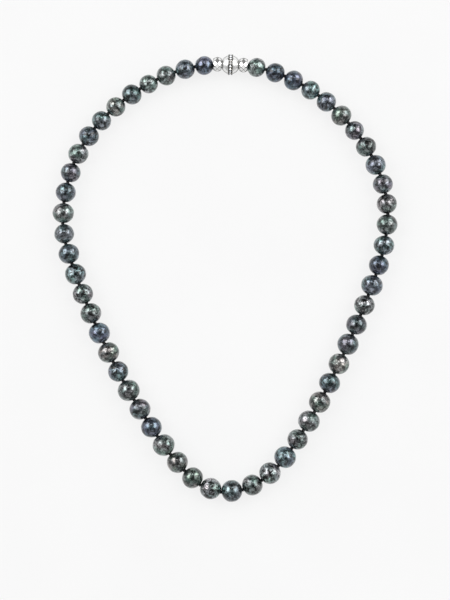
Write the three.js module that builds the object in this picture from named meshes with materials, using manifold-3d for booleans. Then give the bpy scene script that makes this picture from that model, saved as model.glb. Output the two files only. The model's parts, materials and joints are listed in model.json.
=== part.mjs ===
// Pearl necklace: a princess-length string of 54 dark nacre pearls, knotted one by one on a
// silk thread and closed by a magnetic ball clasp with a pave ring and two faceted caps.
// Millimetres, +Z up. The necklace lies flat on z = 0 with its clasp at the +Y end.
// Every pearl is a turned bead with a drilled hole, and its drill axis follows the strand.

import * as THREE from 'three';
import { mergeVertices } from 'three/addons/utils/BufferGeometryUtils.js';
import Module from 'manifold-3d';

// ---- Driving dimensions ----

const PEARL_COUNT = 54;
const END_PEARL = 7.35; // pearl diameter beside the clasp
const MIDDLE_PEARL = 8.25; // pearl diameter opposite the clasp
const GRADING_POWER = 1.3; // how quickly the sizes grow away from the clasp
const SIZE_SWING = 0.2; // pearls are matched, never equal: the swing either way,
const SWING_STEP = 2; // its phase from pearl to pearl in radians,
const SWING_START = 3.3; // and its phase at the clasp
const DRILL_RADIUS = 0.5;
const PEARL_SIDES = 10;
const PEARL_ARC_STEPS = 6;

const THREAD_RADIUS = 0.28;
const THREAD_SIDES = 6;
const THREAD_STEPS = 108;
const KNOT_SPACE = 0.35; // clear distance from pearl to pearl
const KNOT_RADIUS = 0.6;
const KNOT_HALF_LENGTH = 0.3; // its ends sink into the mouths of the drill holes
const END_KNOT_RADIUS = 0.55;

const BALL_RADIUS = 3.7; // polished clasp ball
const RING_RADIUS = 4.05; // pave ring round the ball
const RING_HALF_WIDTH = 0.9;
const CORE_RADIUS = 2.7; // spigot of the left half that carries the ring
const RING_FIT = 0.04; // radial clearance of the ring on its spigot
const PARTING_GAP = 0.06; // between the two halves at the ring's right edge
const CAP_LENGTH = 2.6;
const CAP_GAP = 0.15; // between a cap and the ball's pole
const CAP_RADIUS = 2.95;
const CAP_BORE_RADIUS = 0.7;
const CAP_FACETS = 8;
const BALL_SIDES = 24;
const BALL_ARC_STEPS = 6;
const BALL_HOLE_RADIUS = 0.5; // where the thread enters a half
const KNOT_POCKET_RADIUS = 0.9; // behind that hole, for the thread's end knot
const KNOT_POCKET_START = 3.1; // distances from the ball's centre along its axis
const KNOT_POCKET_END = 2.1;
const MAGNET_RADIUS = 1.25;
const MAGNET_FLOOR = 1; // how far past the ball's centre the left magnet pocket reaches
const BOSS_HEIGHT = 0.4; // locating cone on the right half
const BOSS_RADIUS = 1.9; // at its root; the flank is 45 degrees
const RECESS_CLEARANCE = 0.15; // between the cone and its recess

const CAP_OUTER = BALL_RADIUS + CAP_GAP + CAP_LENGTH; // from the ball's centre
const CLASP_SECTION = 2 * CAP_OUTER + KNOT_SPACE; // knot centre to knot centre

// The strand's centre line as it is laid down, chosen by hand: from the clasp round by -X,
// the rounded point opposite the clasp, and back by +X.
const ROUTE = [
  [2, 84.5], [-22, 80.5], [-45, 66], [-59, 47], [-64, 21.5],
  [-58.5, 0.5], [-46.5, -28], [-34.5, -50], [-18, -73.5], [-6.5, -83],
  [5.5, -83.5], [18, -76.5], [30.5, -60], [43, -37], [54.5, -11],
  [62.5, 13], [63.5, 31], [56, 51], [40.5, 69], [22.5, 80],
];

// ---- Colours: nacre overtones, silk and white metal ----

// One letter for each pearl names its overtone, in order from the clasp's -X side round the strand.
const PEARL_TONES = 'NBGSTOTBSABGTBTSSNOBGANGOOSTGSBSSOBOAAGBNTGSABGAOBTNNS';
const NACRE_TONES = {
  N: 0x3a4154, // navy
  B: 0x3c4a55, // blue
  G: 0x414d46, // green
  S: 0x5c5e5f, // silver grey
  T: 0x3b4c4b, // teal
  A: 0x4a4149, // aubergine
  O: 0x54513f, // olive bronze
};
const SILK_COLOUR = 0x1d1b1d;
const METAL_COLOUR = 0xdcdcda;
const RING_COLOUR = 0x8c8e90;

const wasm = await Module();
wasm.setup();
const necklace = new THREE.Group();

function nacre(number) {
  const tone = NACRE_TONES[PEARL_TONES[number - 1]];
  return new THREE.MeshStandardMaterial({ color: tone, roughness: 0.22, metalness: 0.15 });
}

function metal(colour, roughness) {
  return new THREE.MeshStandardMaterial({ color: colour, roughness, metalness: 1 });
}

// ---- Layout: pearls and knots along the route ----

// Pearl sizes grow from the clasp to the middle, with a small swing from pearl to pearl.
function pearlDiameter(number) {
  const share = (number - 0.5) / PEARL_COUNT;
  const grading = Math.pow(Math.sin(Math.PI * share), GRADING_POWER);
  const swing = SIZE_SWING * Math.sin(SWING_STEP * number + SWING_START);
  return END_PEARL + (MIDDLE_PEARL - END_PEARL) * grading + swing;
}

const diameters = [];
for (let number = 1; number <= PEARL_COUNT; number += 1) {
  diameters.push(pearlDiameter(number));
}
const strandLength = CLASP_SECTION + diameters.reduce((sum, size) => sum + size + KNOT_SPACE, 0);

// The route is scaled by a few thousandths so that its length is the strand's real length.
const drawn = new THREE.CatmullRomCurve3(ROUTE.map(([x, y]) => new THREE.Vector3(x, y, 0)), true);
drawn.arcLengthDivisions = 4000;
const routeScale = strandLength / drawn.getLength();

function routePoint(distance) {
  const share = (distance / strandLength) % 1;
  return drawn.getPointAt(share).multiplyScalar(routeScale);
}

// Knot 0 lies between the left cap and pearl_01, knot 54 between pearl_54 and the right cap.
const knots = [routePoint(CLASP_SECTION / 2)];
let travelled = CLASP_SECTION / 2;
for (const diameter of diameters) {
  travelled += diameter + KNOT_SPACE;
  knots.push(routePoint(travelled));
}

// Each knot's height is midway between the drill axes on its two sides.
const axisHeights = [RING_RADIUS, ...diameters.map((size) => size / 2), RING_RADIUS];
knots.forEach((knot, index) => {
  knot.z = (axisHeights[index] + axisHeights[index + 1]) / 2;
});

const pearlCentres = diameters.map((diameter, index) => {
  const centre = knots[index].clone().add(knots[index + 1]).multiplyScalar(0.5);
  centre.z = diameter / 2;
  return centre;
});

function heading(from, to) {
  return Math.atan2(to.y - from.y, to.x - from.x);
}

// The clasp's axis runs level from knot 0 to the last knot.
const claspCentre = knots[0].clone().add(knots[PEARL_COUNT]).multiplyScalar(0.5);
claspCentre.z = RING_RADIUS;
const claspHeading = heading(knots[0], knots[PEARL_COUNT]);

function claspPoint(along) {
  const offset = new THREE.Vector3(Math.cos(claspHeading), Math.sin(claspHeading), 0);
  return claspCentre.clone().addScaledVector(offset, along);
}

// ---- Pearls ----

// A turned solid on the X axis from a closed outline of [radius, along] points.
function turned(outline, sides) {
  const points = outline.map(([radius, along]) => new THREE.Vector2(radius, along));
  points.push(points[0].clone());
  return new THREE.LatheGeometry(points, sides).rotateZ(-Math.PI / 2);
}

// Points of a circular arc about the origin, from one angle off the axis to another.
function arcPoints(radius, from, to, steps) {
  const points = [];
  for (let step = 0; step <= steps; step += 1) {
    const angle = from + ((to - from) * step) / steps;
    points.push([radius * Math.sin(angle), radius * Math.cos(angle)]);
  }
  return points;
}

function drilledPearl(diameter) {
  const radius = diameter / 2;
  const mouth = Math.asin(DRILL_RADIUS / radius);
  return turned(arcPoints(radius, Math.PI - mouth, mouth, PEARL_ARC_STEPS), PEARL_SIDES);
}

diameters.forEach((diameter, index) => {
  const number = index + 1;
  const pearl = new THREE.Mesh(drilledPearl(diameter), nacre(number));
  pearl.name = `pearl_${String(number).padStart(2, '0')}`;
  pearl.position.copy(pearlCentres[index]);
  pearl.rotation.z = heading(knots[index], knots[index + 1]);
  necklace.add(pearl);
});

// ---- Silk thread with its knots, one body ----

function solidFrom(geometry) {
  const bare = geometry.clone();
  bare.deleteAttribute('normal');
  bare.deleteAttribute('uv');
  const merged = mergeVertices(bare, 1e-4);
  const vertProperties = merged.attributes.position.array;
  const triVerts = new Uint32Array(merged.index.array);
  return new wasm.Manifold(new wasm.Mesh({ numProp: 3, vertProperties, triVerts }));
}

function geometryFrom(solid) {
  const mesh = solid.getMesh();
  const geometry = new THREE.BufferGeometry();
  geometry.setAttribute('position', new THREE.BufferAttribute(mesh.vertProperties, 3));
  geometry.setIndex(new THREE.BufferAttribute(mesh.triVerts, 1));
  geometry.computeVertexNormals();
  return geometry;
}

function threadTube() {
  const endKnotPlace = (KNOT_POCKET_START + KNOT_POCKET_END) / 2;
  const route = [claspPoint(-endKnotPlace), claspPoint(-BALL_RADIUS)];
  knots.forEach((knot, index) => {
    route.push(knot);
    if (index < PEARL_COUNT) {
      route.push(pearlCentres[index]);
    }
  });
  route.push(claspPoint(BALL_RADIUS), claspPoint(endKnotPlace));
  const section = new THREE.Shape();
  for (let side = 0; side < THREAD_SIDES; side += 1) {
    const angle = (2 * Math.PI * side) / THREAD_SIDES;
    const x = THREAD_RADIUS * Math.cos(angle);
    const y = THREAD_RADIUS * Math.sin(angle);
    if (side === 0) {
      section.moveTo(x, y);
    } else {
      section.lineTo(x, y);
    }
  }
  section.closePath();
  return new THREE.ExtrudeGeometry(section, {
    steps: THREAD_STEPS,
    extrudePath: new THREE.CatmullRomCurve3(route),
    bevelEnabled: false,
  });
}

// A knot is a small flattened ball: its short axis lies along the strand. It has two rings of
// corners, at 60 degrees from its poles, so it is scaled up to be as wide there as the knot.
function knotAt(place, direction, radius, halfLength) {
  const knot = new THREE.SphereGeometry(1, THREAD_SIDES, 3);
  const fullRadius = radius / Math.sin(Math.PI / 3);
  knot.rotateZ(-Math.PI / 2);
  knot.scale(halfLength, fullRadius, fullRadius);
  knot.rotateZ(direction);
  knot.translate(place.x, place.y, place.z);
  return knot;
}

function strandHeading(index) {
  const before = index === 0 ? claspCentre : knots[index - 1];
  const after = index === PEARL_COUNT ? claspCentre : knots[index + 1];
  return heading(before, after);
}

function silkThread() {
  let thread = solidFrom(threadTube());
  knots.forEach((knot, index) => {
    const tied = knotAt(knot, strandHeading(index), KNOT_RADIUS, KNOT_HALF_LENGTH);
    thread = thread.add(solidFrom(tied));
  });
  const endKnotPlace = (KNOT_POCKET_START + KNOT_POCKET_END) / 2;
  for (const along of [-endKnotPlace, endKnotPlace]) {
    const tied = knotAt(claspPoint(along), claspHeading, END_KNOT_RADIUS, KNOT_HALF_LENGTH);
    thread = thread.add(solidFrom(tied));
  }
  return geometryFrom(thread);
}

const silk = new THREE.Mesh(
  silkThread(),
  new THREE.MeshStandardMaterial({ color: SILK_COLOUR, roughness: 0.85, metalness: 0 }),
);
silk.name = 'silk_thread';
necklace.add(silk);

// ---- Clasp: built on the X axis about its centre, then laid on the clasp's axis ----

// A faceted cap stands on the axis from its inner end (toward the ball) to its outer end.
// Every other ring of its corners is turned by half a facet, which makes the triangular cuts.
function facetedCap(side) {
  const inner = BALL_RADIUS + CAP_GAP;
  const ringPlaces = [
    [CAP_BORE_RADIUS, 0], [2.05, 0], [2.75, 0.5], [CAP_RADIUS, 1.3],
    [2.75, 2.1], [2.05, CAP_LENGTH], [CAP_BORE_RADIUS, CAP_LENGTH],
  ];
  const outline = ringPlaces.map(([radius, along]) => [radius, inner + along]);
  const cap = turned(outline, CAP_FACETS);
  const corners = cap.attributes.position;
  const turn = Math.PI / CAP_FACETS;
  for (let index = 0; index < corners.count; index += 1) {
    const along = corners.getX(index) - inner;
    const ring = ringPlaces.findIndex(([, place]) => Math.abs(place - along) < 1e-3);
    if (ring === 2 || ring === 4) {
      const y = corners.getY(index);
      const z = corners.getZ(index);
      corners.setY(index, y * Math.cos(turn) - z * Math.sin(turn));
      corners.setZ(index, y * Math.sin(turn) + z * Math.cos(turn));
    }
  }
  return side < 0 ? cap.rotateZ(Math.PI) : cap;
}

// The ball's left part with the spigot for the ring. Its socket for the locating cone and its
// magnet pocket open at the parting face; the thread's hole opens at the pole.
function leftHalf() {
  const parting = RING_HALF_WIDTH;
  const shoulder = -RING_HALF_WIDTH - RING_FIT;
  const equator = Math.acos(-shoulder / BALL_RADIUS);
  const pole = Math.asin(BALL_HOLE_RADIUS / BALL_RADIUS);
  const socketRadius = BOSS_RADIUS + RECESS_CLEARANCE;
  const socketDepth = BOSS_HEIGHT + RECESS_CLEARANCE;
  const dome = arcPoints(BALL_RADIUS, Math.PI - pole, Math.PI - equator, BALL_ARC_STEPS);
  return turned([
    ...dome,
    [CORE_RADIUS, shoulder],
    [CORE_RADIUS, parting],
    [socketRadius, parting],
    [socketRadius - socketDepth, parting - socketDepth],
    [MAGNET_RADIUS, parting - socketDepth],
    [MAGNET_RADIUS, -MAGNET_FLOOR],
    [KNOT_POCKET_RADIUS, -MAGNET_FLOOR],
    [KNOT_POCKET_RADIUS, -KNOT_POCKET_START],
    [BALL_HOLE_RADIUS, -KNOT_POCKET_START],
  ], BALL_SIDES);
}

// The ball's right part. Its locating cone stands out of the parting face, round the magnet.
function rightHalf() {
  const parting = RING_HALF_WIDTH + PARTING_GAP;
  const equator = Math.acos(parting / BALL_RADIUS);
  const pole = Math.asin(BALL_HOLE_RADIUS / BALL_RADIUS);
  return turned([
    [BALL_HOLE_RADIUS, KNOT_POCKET_START],
    [KNOT_POCKET_RADIUS, KNOT_POCKET_START],
    [KNOT_POCKET_RADIUS, MAGNET_FLOOR + RING_HALF_WIDTH],
    [MAGNET_RADIUS, MAGNET_FLOOR + RING_HALF_WIDTH],
    [MAGNET_RADIUS, parting - BOSS_HEIGHT],
    [BOSS_RADIUS - BOSS_HEIGHT, parting - BOSS_HEIGHT],
    [BOSS_RADIUS, parting],
    ...arcPoints(BALL_RADIUS, equator, pole, BALL_ARC_STEPS),
  ], BALL_SIDES);
}

// The pave ring is a plain band with a shallow channel between its two beaded rims.
function paveRing() {
  const bore = CORE_RADIUS + RING_FIT;
  const rim = 0.25;
  const channel = 0.12;
  return turned([
    [bore, -RING_HALF_WIDTH],
    [RING_RADIUS, -RING_HALF_WIDTH],
    [RING_RADIUS, -RING_HALF_WIDTH + rim],
    [RING_RADIUS - channel, -RING_HALF_WIDTH + rim],
    [RING_RADIUS - channel, RING_HALF_WIDTH - rim],
    [RING_RADIUS, RING_HALF_WIDTH - rim],
    [RING_RADIUS, RING_HALF_WIDTH],
    [bore, RING_HALF_WIDTH],
  ], BALL_SIDES);
}

function addClaspPiece(name, geometry, material) {
  const piece = new THREE.Mesh(geometry, material);
  piece.name = name;
  piece.position.copy(claspCentre);
  piece.rotation.z = claspHeading;
  necklace.add(piece);
}

addClaspPiece('clasp_cap_left', facetedCap(-1), metal(METAL_COLOUR, 0.12));
addClaspPiece('clasp_half_left', leftHalf(), metal(METAL_COLOUR, 0.08));
addClaspPiece('clasp_pave_ring', paveRing(), metal(RING_COLOUR, 0.3));
addClaspPiece('clasp_half_right', rightHalf(), metal(METAL_COLOUR, 0.08));
addClaspPiece('clasp_cap_right', facetedCap(1), metal(METAL_COLOUR, 0.12));

// The origin is the middle of the necklace's box, on the surface that it lies on.
const box = new THREE.Box3().setFromObject(necklace, true);
necklace.children.forEach((piece) => {
  piece.position.x -= (box.min.x + box.max.x) / 2;
  piece.position.y -= (box.min.y + box.max.y) / 2;
  piece.position.z -= box.min.z;
});

export default necklace;
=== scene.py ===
"""A knotted string of dark nacre pearls with a magnetic ball clasp, laid out on a pale table.

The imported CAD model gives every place: the pearls' boxes, the knots' hinges and the clasp's axis.
Shapes are worked out in millimetres in a local frame whose X axis is the drill axis or the clasp's
axis, and are put in place by a matrix that also turns millimetres into metres.
"""

import json
import math

import bpy
import numpy as np
from mathutils import Matrix, Quaternion, Vector, noise


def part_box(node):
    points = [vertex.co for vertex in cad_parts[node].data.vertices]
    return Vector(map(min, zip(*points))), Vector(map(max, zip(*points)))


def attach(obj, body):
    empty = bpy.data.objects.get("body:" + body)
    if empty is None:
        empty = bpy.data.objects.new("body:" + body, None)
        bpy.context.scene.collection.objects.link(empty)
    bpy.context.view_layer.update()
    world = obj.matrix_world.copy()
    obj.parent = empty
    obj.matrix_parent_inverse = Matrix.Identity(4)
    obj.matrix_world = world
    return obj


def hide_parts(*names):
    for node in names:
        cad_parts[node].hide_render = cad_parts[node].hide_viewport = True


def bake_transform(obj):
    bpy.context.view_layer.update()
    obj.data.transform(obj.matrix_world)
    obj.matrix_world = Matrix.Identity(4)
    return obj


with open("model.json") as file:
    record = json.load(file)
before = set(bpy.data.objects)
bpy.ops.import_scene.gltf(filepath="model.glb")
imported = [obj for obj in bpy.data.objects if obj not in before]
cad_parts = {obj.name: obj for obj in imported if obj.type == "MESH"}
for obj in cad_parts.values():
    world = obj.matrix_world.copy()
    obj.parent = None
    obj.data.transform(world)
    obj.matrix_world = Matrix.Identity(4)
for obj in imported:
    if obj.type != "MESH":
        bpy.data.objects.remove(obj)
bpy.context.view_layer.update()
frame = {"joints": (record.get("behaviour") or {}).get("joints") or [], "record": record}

# ---- Sizes, in millimetres, and counts ----

MM = 0.001  # metres in a millimetre
PEARL_COUNT = 54
PEARL_SEGMENTS = 96
PEARL_RINGS = 60
PEARL_SWELL = 1.012  # a CAD pearl has flat sides, so the round one is a little fuller
BORE_RADIUS = 0.5
BORE_CHAMFER = 0.14
MOUTH_FADE = 4  # how fast a pearl's unevenness fades out towards its drill mouths
THREAD_RADIUS = 0.28
THREAD_SIDES = 12
THREAD_TWIST = 1.1  # length of one turn of the two plies
THREAD_STEP = 0.12
CURVE_PARTS = 20  # straight parts between two corners of the silk's curve
KNOT_RADIUS = 0.78
KNOT_STRAND = 0.2  # radius of the silk where it is pulled tight in a knot
KNOT_SIDES = 8
KNOT_STEPS = 60
KNOT_WEAVE = 0.07  # how far the strand of a knot weaves to either side
DRILL_SHARE = 0.8  # the silk keeps to the drill's line for this share of its way to a knot
BALL_RADIUS = 3.7
BALL_HOLE = 0.5
RING_RADIUS = 4.05
RING_HALF_WIDTH = 0.9
RING_BORE = 2.74
RING_GAP = 0.04  # between the ring and the left shell
RING_RAIL = 0.27  # width of each of the ring's two rails
RING_RAIL_DROP = 0.12  # how far the rails lie below the tops of their beads
RING_CHANNEL_DROP = 0.3  # how far the channel for the stones lies below them
RING_SLOPE = 0.06  # how far the channel's walls lean
SPIGOT_RADIUS = 2.7
SHARP_CORNER = 150  # degrees: an outline's corner that is tighter than this gets a bevel
SHELL_EASING = 0.05  # bevel on the shells' edges
SHELL_STEPS = 40
PARTING_GAP = 0.06
SOCKET_RADIUS = 2.05
SOCKET_DEPTH = 0.55
CONE_RADIUS = 1.9
CONE_HEIGHT = 0.4
POCKET_RADIUS = 0.9
POCKET_END = 3.1
MAGNET_SEAT_RADIUS = 1.25
MAGNET_FLOOR = 1.0
MAGNET_RADIUS = 1.2
MAGNET_THICKNESS = 1.0
MAGNET_EASING = 0.08
MAGNET_PLAY = 0.02  # how deep a magnet lies below the face of its half
CAP_INNER = 3.85  # from the ball's centre
CAP_LENGTH = 2.6
CAP_BORE = 0.7
CAP_RADIUS = 2.95
CAP_SHOULDER = 0.9  # from the cap's middle to each of its shoulders
CAP_SHOULDER_RADIUS = 2.75
CAP_RIM_RADIUS = 2.2
CAP_DISH = 0.4  # how far each rim stands out beyond its bore, to cup the ball or the pearl
CAP_FACETS = 8
CAP_PAINTED_LINE = 0.085  # half the width of the dark line painted between two facets, a painted dark reflection
CAP_PAINTED_LINE_DEGREES = 8  # facets that meet at more than this have such a line
CAP_FACET_DEGREES = 5  # facets that meet at more than this shade apart
STONE_COUNT = 20
STONE_RADIUS = 0.46
STONE_SEAT_RADIUS = 3.72
STONE_DEPTH = 0.4  # from its seat to its tip, as a share of its radius
STONE_FACET_DEGREES = 1
GRAIN_RADIUS = 0.15
GRAIN_OFFSET = 0.4  # from the ring's middle to the grains on either side
MILGRAIN_COUNT = 84
MILGRAIN_RADIUS = 0.15
END_KNOT_RADIUS = 0.52
END_KNOT_PLACE = 2.6  # from the ball's centre
END_CORD_STEPS = 10
TURNED_SEGMENTS = 128

# ---- Camera: straight down on the necklace, as a copy stand looks ----

VIEW_HEIGHT = 236.5  # what the picture's long side covers, at the height of the drill axes
LENS = 120.0
SENSOR = 36.0
AIM = (-0.05, -8.8)
AXIS_HEIGHT = 4.0
NEAREST, FURTHEST = 0.01, 50.0  # what the camera can see, in metres


def add_camera():
    data = bpy.data.cameras.new("camera")
    data.lens = LENS
    data.sensor_width = SENSOR
    distance = VIEW_HEIGHT * LENS / SENSOR + AXIS_HEIGHT
    data.clip_start = NEAREST
    data.clip_end = FURTHEST
    camera = bpy.data.objects.new("camera", data)
    camera.location = (AIM[0] * MM, AIM[1] * MM, distance * MM)
    bpy.context.scene.collection.objects.link(camera)
    bpy.context.scene.camera = camera


add_camera()

# ---- Node helpers ----


class Nodes:
    """A node tree and short ways to add nodes to it."""

    def __init__(self, tree):
        self.tree = tree

    def node(self, kind, values=None, **settings):
        made = self.tree.nodes.new(kind)
        for key, value in settings.items():
            setattr(made, key, value)
        for key, value in (values or {}).items():
            self.feed(made.inputs[key], value)
        return made

    def feed(self, socket, value):
        if isinstance(value, bpy.types.NodeSocket):
            self.tree.links.new(value, socket)
        else:
            socket.default_value = value

    def ramp(self, factor, stops):
        made = self.node("ShaderNodeValToRGB", {"Fac": factor})
        elements = made.color_ramp.elements
        while len(elements) < len(stops):
            elements.new(1.0)
        for element, (place, shade) in zip(elements, stops):
            element.position = place
            element.color = (*shade, 1.0)
        return made.outputs["Color"]

    def maths(self, operation, *values):
        made = self.node("ShaderNodeMath", dict(enumerate(values)), operation=operation)
        return made.outputs["Value"]


class Shader(Nodes):
    """A material, its surface and the textures that its nodes need."""

    def __init__(self, name):
        self.material = bpy.data.materials.new(name)
        self.material.use_nodes = True
        super().__init__(self.material.node_tree)
        self.surface = self.tree.nodes["Principled BSDF"]

    def set(self, **values):
        for key, value in values.items():
            self.feed(self.surface.inputs[key.replace("_", " ")], value)

    def place(self, scale, shift=(0, 0, 0)):
        """Coordinates that stay with the piece: its own, at the given scale per millimetre."""
        source = self.node("ShaderNodeTexCoord").outputs["Object"]
        per_metre = scale / MM
        mapping = self.node("ShaderNodeMapping", {"Vector": source, "Location": shift})
        mapping.inputs["Scale"].default_value = (per_metre, per_metre, per_metre)
        return mapping.outputs["Vector"]

    def noise(self, where, detail=2.0, roughness=0.5, distortion=0.0):
        values = {"Vector": where, "Scale": 1.0, "Detail": detail}
        values.update({"Roughness": roughness, "Distortion": distortion})
        return self.node("ShaderNodeTexNoise", values).outputs["Fac"]

    def cells(self, where):
        """How far a point is from the middle of the nearest of a scatter of cells."""
        return self.node("ShaderNodeTexVoronoi", {"Vector": where, "Scale": 1.0}).outputs["Distance"]

    def span(self, factor, low, high, from_low=0.0, from_high=1.0):
        values = {"Value": factor, "To Min": low, "To Max": high}
        values.update({"From Min": from_low, "From Max": from_high})
        return self.node("ShaderNodeMapRange", values).outputs["Result"]

    def mix(self, factor, first, second, blend="MIX"):
        made = self.node("ShaderNodeMix", data_type="RGBA", blend_type=blend)
        for index, value in ((0, factor), (6, first), (7, second)):
            self.feed(made.inputs[index], value)
        return made.outputs[2]

    def bump(self, height, strength, distance):
        values = {"Height": height, "Strength": strength, "Distance": distance * MM}
        return self.node("ShaderNodeBump", values).outputs["Normal"]


def colour(red, green, blue):
    return (red, green, blue, 1.0)


def grey(level):
    return (level, level, level)


# ---- Nacre ----

# Each tone has a body colour, the overtone that drifts over it in patches, and a third tint (rim)
# that a broad veil of noise lays over them.
TONES = {
    "navy": ((0.051, 0.068, 0.098), (0.076, 0.096, 0.126), (0.098, 0.117, 0.156)),
    "blue": ((0.074, 0.095, 0.118), (0.108, 0.14, 0.157), (0.124, 0.15, 0.18)),
    "green": ((0.072, 0.094, 0.091), (0.125, 0.139, 0.134), (0.115, 0.139, 0.139)),
    "grey": ((0.094, 0.113, 0.115), (0.16, 0.171, 0.17), (0.141, 0.157, 0.16)),
    "teal": ((0.058, 0.088, 0.096), (0.106, 0.134, 0.142), (0.117, 0.144, 0.153)),
    "aubergine": ((0.068, 0.079, 0.095), (0.113, 0.116, 0.125), (0.108, 0.121, 0.14)),
    "bronze": ((0.081, 0.1, 0.098), (0.152, 0.158, 0.142), (0.133, 0.148, 0.142)),
}
# These pearls have a more mottled skin than the rest.
MOTTLED = {8, 15, 16, 17, 20, 27, 29, 30, 32, 39, 44, 47, 50}

# The orient: one side of a pearl leans to rose and another to green.
ORIENT = [(0.36, (1.14, 0.99, 1.05)), (0.5, (0.99, 1.02, 1.03)), (0.64, (0.88, 1.1, 1.0))]
# Painted shade that darkens the pits' dents.
PIT_PAINTED_SHADE = colour(0.28, 0.28, 0.3)

# How many features of each kind lie along a millimetre of nacre.
VEIL_SCALE = 0.17
ORIENT_SCALE = 0.22
CLOUD_SCALE = 0.3
PATCH_SCALE = 0.62
PIT_SCALE = 0.85
WAVE_SCALE = 0.9
SKIN_SCALE = 2.1
FINE_SCALE = 5.5


def overtones(shader, number, tone, shift):
    """The cloudy colour under a pearl's skin."""
    shade = 1.06 + 0.24 * math.sin(number * 2.1 + 1.0)  # some pearls are lighter than others
    body, overtone, rim = [[level * shade for level in part] for part in TONES[tone]]
    clouds = shader.noise(shader.place(CLOUD_SCALE, shift), 3.0, 0.55, 0.8)
    base = shader.ramp(clouds, [(0.41, body), (0.59, overtone)])
    veil = shader.noise(shader.place(VEIL_SCALE, shift[::-1]), 1.0)
    base = shader.mix(shader.span(veil, 0.0, 0.5, 0.45, 0.65), base, colour(*rim))
    orient = shader.noise(shader.place(ORIENT_SCALE, (shift[2], shift[0], shift[1])), 1.0)
    return shader.mix(1.0, base, shader.ramp(orient, ORIENT), "MULTIPLY")


def markings(shader, base, skin, pits, shift, mottled):
    """The base colour with a pearl's darker patches and flecks, and painted shade in its pits."""
    patches = shader.noise(shader.place(PATCH_SCALE, shift), 3.0, 0.6, 1.2)
    patch_depth = 1.0 if mottled else 0.85
    patch_shade = shader.span(patches, 1 - patch_depth, 1 + patch_depth, 0.42, 0.625)
    base = shader.mix(1.0, base, patch_shade, "MULTIPLY")
    fleck_depth = 0.5 if mottled else 0.14
    fleck_shade = shader.span(skin, 1 - fleck_depth, 1 + fleck_depth, 0.3, 0.7)
    base = shader.mix(1.0, base, fleck_shade, "MULTIPLY")
    # Painted shade: the colour darkens in the pits' dents.
    shaded_pits = shader.mix(1.0, base, PIT_PAINTED_SHADE, "MULTIPLY")
    return shader.mix(shader.span(pits, 1.0 if mottled else 0.5, 0.0), base, shaded_pits)


def nacre(number, tone):
    """Layered nacre: cloudy overtones, darker patches, pits and a fine orange-peel skin."""
    shader = Shader(f"nacre_{number:02d}_{tone}")
    mottled = number in MOTTLED
    shift = (number * 1.7, number * 2.3, number * 0.9)
    skin = shader.noise(shader.place(SKIN_SCALE, shift), 5.0, 0.62, 0.4)
    pits = shader.span(shader.cells(shader.place(PIT_SCALE, shift)), 0.0, 1.0, 0.05, 0.24)
    base = markings(shader, overtones(shader, number, tone, shift), skin, pits, shift, mottled)
    fine = shader.noise(shader.place(FINE_SCALE, shift), 3.0, 0.6)
    waves = shader.noise(shader.place(WAVE_SCALE, shift), 4.0, 0.6, 0.6)
    relief = shader.mix(0.3 if mottled else 0.1, shader.mix(0.2, waves, fine), pits)
    shader.set(
        Base_Color=base,
        Metallic=0.85,
        Roughness=shader.span(skin, 0.18, 0.32 if mottled else 0.28, 0.3, 0.7),
        Coat_Weight=0.75,
        Coat_Roughness=0.1,
        Coat_IOR=1.55,
        Normal=shader.bump(relief, 0.6 if mottled else 0.4, 0.14),
        Coat_Normal=shader.bump(relief, 0.35, 0.08),
    )
    return shader.material


# ---- Meshes ----


def add_mesh(name, vertices, faces, matrix, material, sharp_degrees=35.0):
    """A piece from millimetre vertices in a local frame, put in place by matrix."""
    mesh = bpy.data.meshes.new(name)
    mesh.from_pydata([tuple(vertex) for vertex in vertices], [], faces)
    mesh.transform(matrix)
    mesh.validate()
    mesh.shade_smooth()
    mesh.set_sharp_from_angle(angle=math.radians(sharp_degrees))
    mesh.materials.append(material)
    piece = bpy.data.objects.new(name, mesh)
    bpy.context.scene.collection.objects.link(piece)
    return piece


def place_along(centre, direction):
    """The matrix of a local frame at centre, in metres, with X along direction and Z near up."""
    x = direction.normalized()
    y = Vector((0, 0, 1)).cross(x).normalized()
    z = x.cross(y)
    turn = Matrix((x, y, z)).transposed().to_4x4()
    return Matrix.Translation(centre) @ turn @ Matrix.Scale(MM, 4)


def ring_point(along, radius, share):
    """A point on a circle round X; share 0 is on top and share 1 is once round."""
    angle = 2 * math.pi * share
    return Vector((along, radius * math.sin(angle), radius * math.cos(angle)))


def ring_points(along, radius, count, turn=0.0):
    """Evenly spread points on a circle round X, the first one turned by a share of their spacing."""
    return [ring_point(along, radius, (index + turn) / count) for index in range(count)]


def ring_quads(rings, sides, closed=False):
    """Quads from each ring of vertices to the next, and from the last to the first if closed.
    They face away from X where the rings are ring_points that follow each other along X."""
    faces = []
    for ring in range(rings if closed else rings - 1):
        here, there = ring * sides, (ring + 1) % rings * sides
        for side in range(sides):
            after = (side + 1) % sides
            faces.append((here + side, there + side, there + after, here + after))
    return faces


def turned_surface(outline, segments):
    """Vertices and quads of a closed outline of (along, radius) points turned round X."""
    vertices = []
    for along, radius in outline:
        vertices.extend(ring_points(along, radius, segments))
    return vertices, ring_quads(len(outline), segments, closed=True)


def arc(radius, start, end, steps):
    """(along, radius) points of a circle about the origin; angles are measured from +X."""
    points = []
    for step in range(steps + 1):
        angle = start + (end - start) * step / steps
        points.append((radius * math.cos(angle), radius * math.sin(angle)))
    return points


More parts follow.
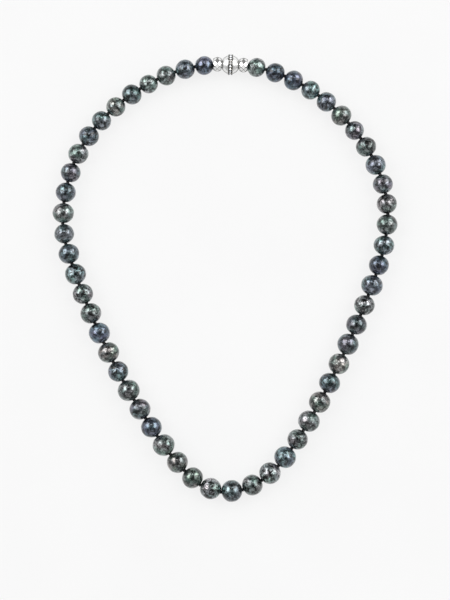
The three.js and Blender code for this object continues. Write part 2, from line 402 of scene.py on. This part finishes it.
def tube(centres, radii, sides):
    """A closed tube through points in a local frame. radii is a function that gives the radius
    at an angle round the tube and a step along it."""
    points = [Vector(centre) for centre in centres]
    vertices = []
    normal = Vector((0, 0, 1))
    for step, point in enumerate(points):
        ahead = points[min(step + 1, len(points) - 1)] - points[max(step - 1, 0)]
        ahead.normalize()
        normal = (normal - ahead * normal.dot(ahead)).normalized()
        across = ahead.cross(normal)
        for side in range(sides):
            angle = 2 * math.pi * side / sides
            reach = radii(angle, step)
            vertices.append(point + (normal * math.cos(angle) + across * math.sin(angle)) * reach)
    # The sides go round the other way than ring_points does, so the quads are turned over.
    faces = [quad[::-1] for quad in ring_quads(len(points), sides)]
    faces.append(tuple(reversed(range(sides))))
    faces.append(tuple(range(len(vertices) - sides, len(vertices))))
    return vertices, faces


def joined(*surfaces):
    """Several (vertices, faces) surfaces as one."""
    vertices, faces = [], []
    for more_vertices, more_faces in surfaces:
        start = len(vertices)
        vertices.extend(more_vertices)
        faces.extend(tuple(index + start for index in face) for face in more_faces)
    return vertices, faces


# ---- Layout from the frame ----

joints = {joint["name"]: joint for joint in frame["joints"]}
slots = {part["node"]: part["material_slot"] for part in frame["record"]["subparts"]}


def knot_place(index):
    return Vector(joints[f"knot_{index:02d}"]["pos_m"])


def pearl_layout(number):
    """Centre, drill axis and radius in millimetres of a CAD pearl."""
    low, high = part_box(f"pearl_{number:02d}")
    direction = knot_place(number) - knot_place(number - 1)
    direction.z = 0
    return (low + high) / 2, direction.normalized(), (high.z - low.z) / 2 / MM


clasp_joint = joints["clasp_swivel_left"]
CLASP_CENTRE = Vector(clasp_joint["pos_m"])
CLASP_AXIS = Vector(clasp_joint["axis"]).normalized()
CLASP_MATRIX = place_along(CLASP_CENTRE, CLASP_AXIS)

# ---- Pearls ----

# Layers of unevenness: each has a height, as a share of the radius, and how many of its features
# lie along a radius.
RELIEF = ((0.028, 1.1), (0.015, 2.4), (0.002, 7.0))
MOTTLED_HEIGHT, MOTTLED_SCALE = 0.0035, 5.0

# One pearl in seven has a ring groove. Its depth is a share of the radius; its place and its
# width are angles from the pole, in radians.
GROOVE_EVERY = 7
GROOVE_DEPTH = 0.008
GROOVE_PLACE = 0.55
GROOVE_WIDTH = 0.06


def pearl_relief(direction, number):
    """How far a point of a pearl lies from a true sphere, as a share of its radius."""
    seed = Vector((number * 3.1, number * 1.7, number * 2.3))
    relief = sum(height * noise.noise(direction * scale + seed) for height, scale in RELIEF)
    if number in MOTTLED:
        relief += MOTTLED_HEIGHT * noise.noise(direction * MOTTLED_SCALE - seed)
    return relief


def pearl_proportions(number):
    """Along the drill, across it and up: buttons, ovals and near-rounds by turns."""
    swing = math.sin(number * 2.7 + 0.6)
    lean = math.sin(number * 1.3 + 2.0)
    return 1.008 - 0.012 * abs(swing), 1.022 + 0.024 * swing, 1.008 + 0.012 * lean


def groove_relief(angle_from_pole, number):
    """A shallow ring groove near one end, which a few pearls of a string like this have."""
    if number % GROOVE_EVERY != 2:
        return 0.0
    place = GROOVE_PLACE + 0.1 * math.sin(number)
    return -GROOVE_DEPTH * math.exp(-(((angle_from_pole - place) / GROOVE_WIDTH) ** 2))


def pearl_surface(radius, number):
    """The skin from one drill mouth to the other, then the chamfers and the drilled hole."""
    along_share, across_share, up_share = pearl_proportions(number)
    mouth = math.asin((BORE_RADIUS + BORE_CHAMFER) / radius)
    vertices = []
    for ring in range(PEARL_RINGS + 1):
        angle = math.pi - mouth - (math.pi - 2 * mouth) * ring / PEARL_RINGS
        # The relief and the proportions fade out at the drill mouths, which stay round.
        fade = min(1.0, (math.sin(angle) - math.sin(mouth)) * MOUTH_FADE)
        swell = 1 + (PEARL_SWELL - 1) * fade
        across = 1 + (across_share - 1) * fade
        up = 1 + (up_share - 1) * fade
        for direction in ring_points(math.cos(angle), math.sin(angle), PEARL_SEGMENTS):
            relief = pearl_relief(direction, number) + groove_relief(angle, number)
            point = direction * (radius * (1 + relief * fade) * swell)
            vertices.append(Vector((point.x * along_share, point.y * across, point.z * up)))
    bore_end = radius * math.cos(mouth) * along_share - BORE_CHAMFER
    for along in (bore_end, -bore_end):
        vertices.extend(ring_points(along, BORE_RADIUS, PEARL_SEGMENTS))
    rings = len(vertices) // PEARL_SEGMENTS
    return vertices, ring_quads(rings, PEARL_SEGMENTS, closed=True)


def add_pearl(number):
    name = f"pearl_{number:02d}"
    centre, direction, radius = pearl_layout(number)
    vertices, faces = pearl_surface(radius, number)
    # The pearl stands on its own lowest point, at the height where the CAD pearl stands.
    lowest = min(vertex.z for vertex in vertices)
    centre.z = -lowest * MM
    tone = slots[name].removeprefix("nacre_")
    matrix = place_along(centre, direction)
    piece = add_mesh(f"{name}_nacre", vertices, faces, matrix, nacre(number, tone), 50.0)
    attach(piece, name)
    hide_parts(name)


for pearl_number in range(1, PEARL_COUNT + 1):
    add_pearl(pearl_number)

# ---- Silk: a two-ply cord with a knot in every gap ----

FIBRE_SCALE = 6.0  # fibres along a millimetre


def silk_material():
    shader = Shader("silk")
    fibres = shader.noise(shader.place(FIBRE_SCALE), 4.0, 0.7)
    base = shader.ramp(fibres, [(0.35, (0.006, 0.005, 0.007)), (0.7, (0.03, 0.027, 0.03))])
    shader.set(
        Base_Color=base,
        Roughness=0.68,
        Sheen_Weight=0.35,
        Sheen_Roughness=0.4,
        Normal=shader.bump(fibres, 0.6, 0.05),
    )
    return shader.material


SILK = silk_material()


def twisted(angle, step):
    """The cross-section of two plies that wind round each other."""
    turn = 2 * math.pi * step * THREAD_STEP / THREAD_TWIST
    return THREAD_RADIUS * (0.9 + 0.1 * math.cos(2 * angle - turn))


def even_points(corners, step):
    """Points at an even step along a smooth curve through the corners, in a local frame."""
    dense = []
    padded = [corners[0] * 2 - corners[1], *corners, corners[-1] * 2 - corners[-2]]
    for first, second, third, fourth in zip(padded, padded[1:], padded[2:], padded[3:]):
        for part in range(CURVE_PARTS):
            share = part / CURVE_PARTS
            # A Catmull-Rom segment from second to third.
            line = second * 2 + (third - first) * share
            line += (first * 2 - second * 5 + third * 4 - fourth) * share**2
            line += (second * 3 - first - third * 3 + fourth) * share**3
            dense.append(line / 2)
    dense.append(corners[-1])
    lengths = [0.0]
    for before, after in zip(dense, dense[1:]):
        lengths.append(lengths[-1] + (after - before).length)
    count = max(2, round(lengths[-1] / step))
    wanted = np.linspace(0, lengths[-1], count + 1)
    columns = [np.interp(wanted, lengths, [point[axis] for point in dense]) for axis in range(3)]
    return [Vector(values) for values in zip(*columns)]


def overhand_knot():
    """A tight overhand knot: the silk's path round a trefoil that lies across the strand."""
    reach = (KNOT_RADIUS - KNOT_STRAND) / 3
    path = []
    for step in range(KNOT_STEPS + 1):
        turn = 2 * math.pi * step / KNOT_STEPS
        across = math.sin(turn) + 2 * math.sin(2 * turn)
        up = math.cos(turn) - 2 * math.cos(2 * turn)
        path.append((KNOT_WEAVE * math.sin(3 * turn), across * reach, up * reach))
    return tube(path, lambda angle, step: KNOT_STRAND, KNOT_SIDES)


def axis_end(number):
    """Where the silk of one piece starts or ends: a pearl's centre, or the clasp ball's pole."""
    if number == 0:
        return CLASP_CENTRE - CLASP_AXIS * BALL_RADIUS * MM
    if number == PEARL_COUNT + 1:
        return CLASP_CENTRE + CLASP_AXIS * BALL_RADIUS * MM
    return pearl_layout(number)[0]


def add_silk(index):
    """The silk from the middle of one bead to the middle of the next, with the knot between."""
    knot = knot_place(index)
    before, after = axis_end(index), axis_end(index + 1)
    matrix = place_along(knot, after - before)
    back = matrix.inverted()
    corners = [
        back @ before,
        back @ before.lerp(knot, DRILL_SHARE),
        Vector(),
        back @ after.lerp(knot, DRILL_SHARE),
        back @ after,
    ]
    cord = tube(even_points(corners, THREAD_STEP), twisted, THREAD_SIDES)
    piece = add_mesh(f"silk_{index:02d}", *joined(cord, overhand_knot()), matrix, SILK)
    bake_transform(piece)
    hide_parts("silk_thread")


for knot_index in range(PEARL_COUNT + 1):
    add_silk(knot_index)

# ---- Clasp materials ----

# How many features of each kind lie along a millimetre of metal, stone or plate.
SMEAR_SCALE = 0.9
HAIR_SCALE = 9.0
TARNISH_SCALE = 3.0
FIRE_SCALE = 1.4
PLATE_SCALE = 7.0


def polished_metal(name, roughness, scratch, haze, edge):
    """Bright white metal. Haze is the share that wear has turned from a mirror to satin, and edge
    is how bright the metal is where it is seen at a glancing angle."""
    shader = Shader(name)
    smear = shader.noise(shader.place(SMEAR_SCALE), 3.0, 0.6)
    hairs = shader.noise(shader.place(HAIR_SCALE), 5.0, 0.75, 2.0)
    worn = shader.span(smear, 0.0, 0.25)
    shader.set(
        Base_Color=shader.mix(worn, colour(0.89, 0.89, 0.88), colour(0.7, 0.71, 0.73)),
        Metallic=1.0 - haze,
        Specular_Tint=colour(*grey(edge)),
        Roughness=shader.span(smear, roughness, roughness + 0.08, 0.3, 0.7),
        Normal=shader.bump(hairs, scratch, 0.01),
    )
    return shader.material


def dark_metal():
    """Blackened metal between the stones, rubbed brighter in random patches."""
    shader = Shader("pave_metal")
    patches = shader.noise(shader.place(TARNISH_SCALE), 4.0, 0.6)
    base = shader.ramp(patches, [(0.35, (0.07, 0.068, 0.062)), (0.7, (0.24, 0.235, 0.22))])
    shader.set(
        Base_Color=base,
        Metallic=1.0,
        Roughness=0.32,
        Normal=shader.bump(patches, 0.4, 0.03),
    )
    return shader.material


def crystal():
    """Small foiled stones: bright, faceted, with a trace of cool and warm fire."""
    shader = Shader("crystal")
    fire = shader.noise(shader.place(FIRE_SCALE), 1.0)
    base = shader.ramp(fire, [(0.35, (0.8, 0.86, 0.95)), (0.65, (0.98, 0.93, 0.86))])
    shader.set(
        Base_Color=base,
        Metallic=0.55,
        Roughness=0.04,
        IOR=2.1,
        Coat_Weight=0.6,
        Coat_Roughness=0.02,
    )
    return shader.material


def magnet_metal():
    """Nickel plate with a fine grain."""
    shader = Shader("magnet")
    grain = shader.noise(shader.place(PLATE_SCALE), 3.0, 0.6)
    base = shader.ramp(grain, [(0.3, (0.3, 0.3, 0.31)), (0.7, (0.5, 0.5, 0.5))])
    shader.set(
        Base_Color=base,
        Metallic=1.0,
        Roughness=0.34,
        Normal=shader.bump(grain, 0.3, 0.02),
    )
    return shader.material


BRIGHT = polished_metal("polished_metal", roughness=0.16, scratch=0.05, haze=0.22, edge=0.08)
FACETED = polished_metal("cut_metal", roughness=0.07, scratch=0.04, haze=0.08, edge=0.15)
DARK = dark_metal()
CRYSTAL = crystal()
MAGNET = magnet_metal()

# ---- Clasp pieces, in the clasp's own frame ----


def add_clasp_piece(name, surface, material, body, node=None, sharp_degrees=35.0):
    piece = add_mesh(name, *surface, CLASP_MATRIX, material, sharp_degrees)
    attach(piece, body)
    if node:
        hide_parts(node)
    return piece


def eased(outline, easing):
    """The outline with each sharp corner cut by a narrow bevel that catches the light."""
    points = [Vector(point) for point in outline]
    result = []
    for index, point in enumerate(points):
        before = points[index - 1] - point
        after = points[(index + 1) % len(points)] - point
        sharp = before.angle(after, math.pi) < math.radians(SHARP_CORNER)
        room = min(before.length, after.length) / 3
        if sharp and room > easing:
            result.append(point + before.normalized() * easing)
            result.append(point + after.normalized() * easing)
        else:
            result.append(point)
    return [tuple(point) for point in result]


def left_half():
    """The left shell, with the spigot for the ring, the cone's socket and the pockets."""
    shoulder = -RING_HALF_WIDTH - RING_GAP
    parting = RING_HALF_WIDTH
    pole = math.pi - math.asin(BALL_HOLE / BALL_RADIUS)
    equator = math.acos(shoulder / BALL_RADIUS)
    return [
        *arc(BALL_RADIUS, pole, equator, SHELL_STEPS),
        (shoulder, SPIGOT_RADIUS),
        (parting, SPIGOT_RADIUS),
        (parting, SOCKET_RADIUS),
        (parting - SOCKET_DEPTH, SOCKET_RADIUS - SOCKET_DEPTH),
        (parting - SOCKET_DEPTH, MAGNET_SEAT_RADIUS),
        (-MAGNET_FLOOR, MAGNET_SEAT_RADIUS),
        (-MAGNET_FLOOR, POCKET_RADIUS),
        (-POCKET_END, POCKET_RADIUS),
        (-POCKET_END, BALL_HOLE),
    ]


def right_half():
    """The right shell, whose locating cone stands out round its magnet."""
    parting = RING_HALF_WIDTH + PARTING_GAP
    pole = math.asin(BALL_HOLE / BALL_RADIUS)
    equator = math.acos(parting / BALL_RADIUS)
    floor = MAGNET_FLOOR + RING_HALF_WIDTH
    return [
        (POCKET_END, BALL_HOLE),
        (POCKET_END, POCKET_RADIUS),
        (floor, POCKET_RADIUS),
        (floor, MAGNET_SEAT_RADIUS),
        (parting - CONE_HEIGHT, MAGNET_SEAT_RADIUS),
        (parting - CONE_HEIGHT, CONE_RADIUS - CONE_HEIGHT),
        (parting, CONE_RADIUS),
        *arc(BALL_RADIUS, equator, pole, SHELL_STEPS),
    ]


def magnet_disc(inner, outer):
    """A disc between two places on the axis, whose outline starts and ends close to the axis."""
    core = 0.02
    return [(inner, core), (inner, MAGNET_RADIUS), (outer, MAGNET_RADIUS), (outer, core)]


def facing_out(outline):
    """Whether an outline's order makes turned_surface face outwards."""
    area = 0.0
    for (x, y), (x_next, y_next) in zip(outline, outline[1:] + outline[:1]):
        area += x * y_next - x_next * y
    return area < 0


def turned(outline, easing=0.0):
    """A closed outline turned round the clasp's axis, with its sharp corners eased."""
    shaped = eased(outline, easing) if easing else outline
    if not facing_out(shaped):
        shaped = shaped[::-1]
    return turned_surface(shaped, TURNED_SEGMENTS)


def sphere_surface(centre, radius, segments=10, rings=6):
    """A small ball: two poles and rings between them."""
    vertices = [centre + Vector((0, 0, radius))]
    for ring in range(1, rings):
        angle = math.pi * ring / rings
        for segment in range(segments):
            turn = 2 * math.pi * segment / segments
            flat = radius * math.sin(angle)
            offset = Vector((flat * math.cos(turn), flat * math.sin(turn), radius * math.cos(angle)))
            vertices.append(centre + offset)
    vertices.append(centre - Vector((0, 0, radius)))
    last = len(vertices) - 1
    faces = []
    for segment in range(segments):
        after = (segment + 1) % segments
        faces.append((0, 1 + segment, 1 + after))
        for ring in range(rings - 2):
            here, there = 1 + ring * segments, 1 + (ring + 1) * segments
            faces.append((here + segment, there + segment, there + after, here + after))
        bottom = 1 + (rings - 2) * segments
        faces.append((bottom + segment, last, bottom + after))
    return vertices, faces


def pave_band():
    """The ring's body: a channel for the stones between two low rails for the milgrain."""
    rail = RING_RADIUS - RING_RAIL_DROP
    channel = RING_RADIUS - RING_CHANNEL_DROP
    bed = RING_HALF_WIDTH - RING_RAIL
    return [
        (-RING_HALF_WIDTH, RING_BORE),
        (-RING_HALF_WIDTH, rail),
        (-bed, rail),
        (-bed + RING_SLOPE, channel),
        (bed - RING_SLOPE, channel),
        (bed, rail),
        (RING_HALF_WIDTH, rail),
        (RING_HALF_WIDTH, RING_BORE),
    ]


def milgrain():
    """Two rows of tiny beads along the ring's edges."""
    along = RING_HALF_WIDTH - MILGRAIN_RADIUS
    beads = []
    for side in (-1, 1):
        for index in range(MILGRAIN_COUNT):
            centre = ring_point(side * along, RING_RADIUS - MILGRAIN_RADIUS, index / MILGRAIN_COUNT)
            beads.append(sphere_surface(centre, MILGRAIN_RADIUS, 8, 6))
    return joined(*beads)


def grains():
    """The raised grains that hold the stones: two at each meeting of two stones."""
    beads = []
    for index in range(STONE_COUNT):
        for side in (-1, 1):
            share = (index + 0.5) / STONE_COUNT
            centre = ring_point(side * GRAIN_OFFSET, RING_RADIUS - GRAIN_RADIUS, share)
            beads.append(sphere_surface(centre, GRAIN_RADIUS))
    return joined(*beads)


def brilliant(index):
    """A round cut stone: table, crown, girdle and pavilion, sunk in the ring's channel."""
    share = index / STONE_COUNT
    base = ring_point(0, STONE_SEAT_RADIUS, share)
    out = Vector((0, base.y, base.z)).normalized()
    along = Vector((1, 0, 0))
    across = out.cross(along)
    # Each level has a radius and a height as shares of the stone's radius, its corner count
    # and the turn of its first corner in eighths.
    levels = [(0.56, 0.62, 8, 0.5), (0.82, 0.44, 8, 0.0), (1.0, 0.24, 16, 0.0), (1.0, 0.18, 16, 0.0)]
    vertices = []
    for level_radius, height, corners, turn in levels:
        for corner in range(corners):
            angle = 2 * math.pi * (corner + turn * corners / 8) / corners
            offset = along * math.cos(angle) + across * math.sin(angle)
            vertices.append(base + (offset * level_radius + out * height) * STONE_RADIUS)
    vertices.append(base - out * STONE_DEPTH * STONE_RADIUS)
    return vertices, brilliant_faces()


def brilliant_faces():
    """Table, star and kite facets, girdle and pavilion of the levels that brilliant makes."""
    table, crown, upper, lower, tip = 0, 8, 16, 32, 48
    faces = [tuple(range(table, table + 8))]
    for corner in range(8):
        after = (corner + 1) % 8
        # The table's corner lies half an eighth past the crown's, between it and the next.
        faces.append((table + corner, crown + after, table + after))
        girdle = [upper + (2 * corner + step) % 16 for step in range(3)]
        faces.append((crown + corner, girdle[0], girdle[1]))
        faces.append((crown + corner, girdle[1], table + corner))
        faces.append((table + corner, girdle[1], crown + after))
        faces.append((crown + after, girdle[1], girdle[2]))
    for corner in range(16):
        after = (corner + 1) % 16
        faces.append((upper + corner, lower + corner, lower + after, upper + after))
        faces.append((lower + corner, tip, lower + after))
    return faces


def faceted_cap(side):
    """A cut cap: rings of corners, every other one turned half a facet, so that the cuts are
    triangles that zigzag round it."""
    middle = CAP_LENGTH / 2
    rings = [
        (-CAP_DISH, CAP_RIM_RADIUS, 0.0),
        (middle - CAP_SHOULDER, CAP_SHOULDER_RADIUS, 0.5),
        (middle, CAP_RADIUS, 0.0),
        (middle + CAP_SHOULDER, CAP_SHOULDER_RADIUS, 0.5),
        (CAP_LENGTH + CAP_DISH, CAP_RIM_RADIUS, 0.0),
    ]
    bores = [(CAP_LENGTH, CAP_BORE, 0.0), (0.0, CAP_BORE, 0.0)]
    vertices = []
    for along, radius, turn in rings + bores:
        vertices.extend(ring_points(along, radius, CAP_FACETS, turn))
    faces = []
    for ring in range(len(rings) - 1):
        here, there = ring * CAP_FACETS, (ring + 1) * CAP_FACETS
        for corner in range(CAP_FACETS):
            after = (corner + 1) % CAP_FACETS
            if ring % 2 == 0:
                faces.append((here + corner, there + corner, here + after))
                faces.append((here + after, there + corner, there + after))
            else:
                faces.append((here + corner, there + corner, there + after))
                faces.append((here + corner, there + after, here + after))
    # From the last rim through the two bores to the first rim.
    inside = [ring * CAP_FACETS for ring in (len(rings) - 1, len(rings), len(rings) + 1, 0)]
    for here, there in zip(inside, inside[1:]):
        for corner in range(CAP_FACETS):
            after = (corner + 1) % CAP_FACETS
            faces.append((here + corner, there + corner, there + after, here + after))
    shifted = [(side * (CAP_INNER + x), y, z) for x, y, z in vertices]
    if side < 0:
        faces = [face[::-1] for face in faces]
    return shifted, faces


def add_cap(side, label):
    name, body, node = f"cap_{label}_cut", f"cap_{label}", f"clasp_cap_{label}"
    surface = faceted_cap(side)
    piece = add_clasp_piece(name, surface, FACETED, body, node, CAP_FACET_DEGREES)
    # The cut edges get a narrow bevel in the dark metal: painted dark lines that stand in for the
    # dark reflections of the cuts.
    piece.data.materials.append(DARK)
    bevel = piece.modifiers.new("painted dark lines", "BEVEL")
    bevel.width = CAP_PAINTED_LINE * MM
    bevel.segments = 1
    bevel.material = 1
    bevel.limit_method = "ANGLE"
    bevel.angle_limit = math.radians(CAP_PAINTED_LINE_DEGREES)


def end_knot(side):
    """The silk's end inside the cap and the ball: a short cord and the last knot."""
    places = np.linspace(BALL_RADIUS, END_KNOT_PLACE - 0.1, END_CORD_STEPS + 1)
    cord = tube([(side * place, 0, 0) for place in places], twisted, THREAD_SIDES)
    ball = sphere_surface(Vector((side * END_KNOT_PLACE, 0, 0)), END_KNOT_RADIUS, 16, 10)
    return joined(cord, ball)


def add_shell(outline, label):
    surface = turned(outline, SHELL_EASING)
    node = f"clasp_half_{label}"
    add_clasp_piece(f"shell_{label}", surface, BRIGHT, f"clasp_{label}", node)


def add_ring():
    """The ring on the left half: its band, beads and grains in dark metal, and its stones."""
    metal_parts = {
        "pave_band": turned(pave_band()),
        "pave_milgrain": milgrain(),
        "pave_grains": grains(),
    }
    for name, surface in metal_parts.items():
        add_clasp_piece(name, surface, DARK, "clasp_left", "clasp_pave_ring")
    for index in range(STONE_COUNT):
        name = f"pave_stone_{index + 1:02d}"
        surface = brilliant(index)
        add_clasp_piece(
            name, surface, CRYSTAL, "clasp_left", sharp_degrees=STONE_FACET_DEGREES
        )


def add_magnet(inner, outer, label):
    surface = turned(magnet_disc(inner, outer), MAGNET_EASING)
    add_clasp_piece(f"magnet_{label}", surface, MAGNET, f"clasp_{label}")


def add_clasp():
    add_shell(left_half(), "left")
    add_shell(right_half(), "right")
    add_ring()
    left_face = RING_HALF_WIDTH - SOCKET_DEPTH
    add_magnet(left_face - MAGNET_THICKNESS, left_face - MAGNET_PLAY, "left")
    right_face = RING_HALF_WIDTH + PARTING_GAP - CONE_HEIGHT
    add_magnet(right_face + MAGNET_PLAY, right_face + MAGNET_THICKNESS, "right")
    for side, label in ((-1, "left"), (1, "right")):
        add_cap(side, label)
        knot = end_knot(side)
        add_clasp_piece(f"end_knot_{label}", knot, SILK, f"cap_{label}", "silk_thread")


add_clasp()

# ---- Table, room and lights ----

TABLE_HALF = 6.0  # metres
TABLE_GLOW = 0.815  # the table is a light table, so shadows on it are faint
TABLE_CLOUD_SCALE = 0.02  # how many of the table's faint clouds lie along a millimetre
BACK_SHADE = -0.2  # how the room's level changes from its middle to behind the clasp
# How bright the room is at a height, from 0 at the horizon to 1 overhead.
ROOM_LEVELS = [(0.0, 0.42), (0.25, 0.28), (0.6, 0.16), (1.0, 0.08)]
# Where the tent's cloth glows: a direction, how tightly the glow is gathered, and its strength.
GLOWS = [((0.67, 0.39, 0.63), 7.0, 1.6), ((1.0, 0.0, 0.03), 12.0, 0.5)]


def add_table():
    shader = Shader("table")
    clouds = shader.noise(shader.place(TABLE_CLOUD_SCALE), 3.0, 0.5)
    shader.set(
        Base_Color=shader.ramp(clouds, [(0.3, grey(0.095)), (0.7, grey(0.105))]),
        Roughness=0.85,
        Specular_IOR_Level=0.1,
        Emission_Color=colour(1, 1, 1),
        Emission_Strength=TABLE_GLOW,
    )
    mesh = bpy.data.meshes.new("table")
    corners = [(-1, -1), (1, -1), (1, 1), (-1, 1)]
    mesh.from_pydata([(x * TABLE_HALF, y * TABLE_HALF, 0) for x, y in corners], [], [(0, 1, 2, 3)])
    mesh.materials.append(shader.material)
    table = bpy.data.objects.new("table", mesh)
    bpy.context.scene.collection.objects.link(table)


def add_room():
    """A grey tent: pale at the two lit sides, darker overhead and behind the necklace."""
    world = bpy.data.worlds.new("room")
    world.use_nodes = True
    sky = Nodes(world.node_tree)
    direction = sky.node("ShaderNodeTexCoord").outputs["Generated"]
    split = sky.node("ShaderNodeSeparateXYZ", {"Vector": direction}).outputs
    height = sky.ramp(split["Z"], [(place, grey(level)) for place, level in ROOM_LEVELS])
    level = sky.maths("MULTIPLY_ADD", split["Y"], BACK_SHADE, height)
    # The two sides are alike, so the direction is mirrored to +X before it is compared.
    across = sky.maths("ABSOLUTE", split["X"])
    side = sky.node("ShaderNodeCombineXYZ", {"X": across, "Y": split["Y"], "Z": split["Z"]})
    for towards, sharpness, strength in GLOWS:
        values = {0: side.outputs["Vector"], 1: Vector(towards).normalized()}
        likeness = sky.node("ShaderNodeVectorMath", values, operation="DOT_PRODUCT").outputs["Value"]
        gathered = sky.maths("POWER", sky.maths("MAXIMUM", likeness, 0.0), sharpness)
        level = sky.maths("MULTIPLY_ADD", gathered, strength, level)
    sky.feed(world.node_tree.nodes["Background"].inputs["Color"], level)
    bpy.context.scene.world = world


# Each light has a direction from the necklace, its distance, width and height in metres, its
# radiance and its roll about its own axis in degrees.
LIGHTS = {
    "softbox_left": ((-0.64, 0.39, 0.66), 1.1, 1.05, 0.66, 3.0, 34),
    "softbox_right": ((0.64, 0.39, 0.66), 1.1, 1.05, 0.66, 3.0, -34),
    "overhead_lamp": ((0.0, 0.53, 0.85), 1.4, 0.42, 0.3, 3.6, 0),
    "front_card": ((0.0, -0.79, 0.61), 1.2, 1.0, 0.95, 0.68, 0),
}


def add_lights():
    for name, (direction, distance, width, height, radiance, roll) in LIGHTS.items():
        data = bpy.data.lights.new(name, "AREA")
        data.shape = "RECTANGLE"
        data.size = width
        data.size_y = height
        data.energy = radiance * math.pi * width * height
        light = bpy.data.objects.new(name, data)
        light.location = Vector(direction).normalized() * distance
        facing = Vector(direction).to_track_quat("Z", "Y")
        light.rotation_euler = (facing @ Quaternion((0, 0, 1), math.radians(roll))).to_euler()
        light.visible_camera = False
        bpy.context.scene.collection.objects.link(light)


add_table()
add_room()
add_lights()
bpy.context.scene.view_settings.view_transform = "Standard"
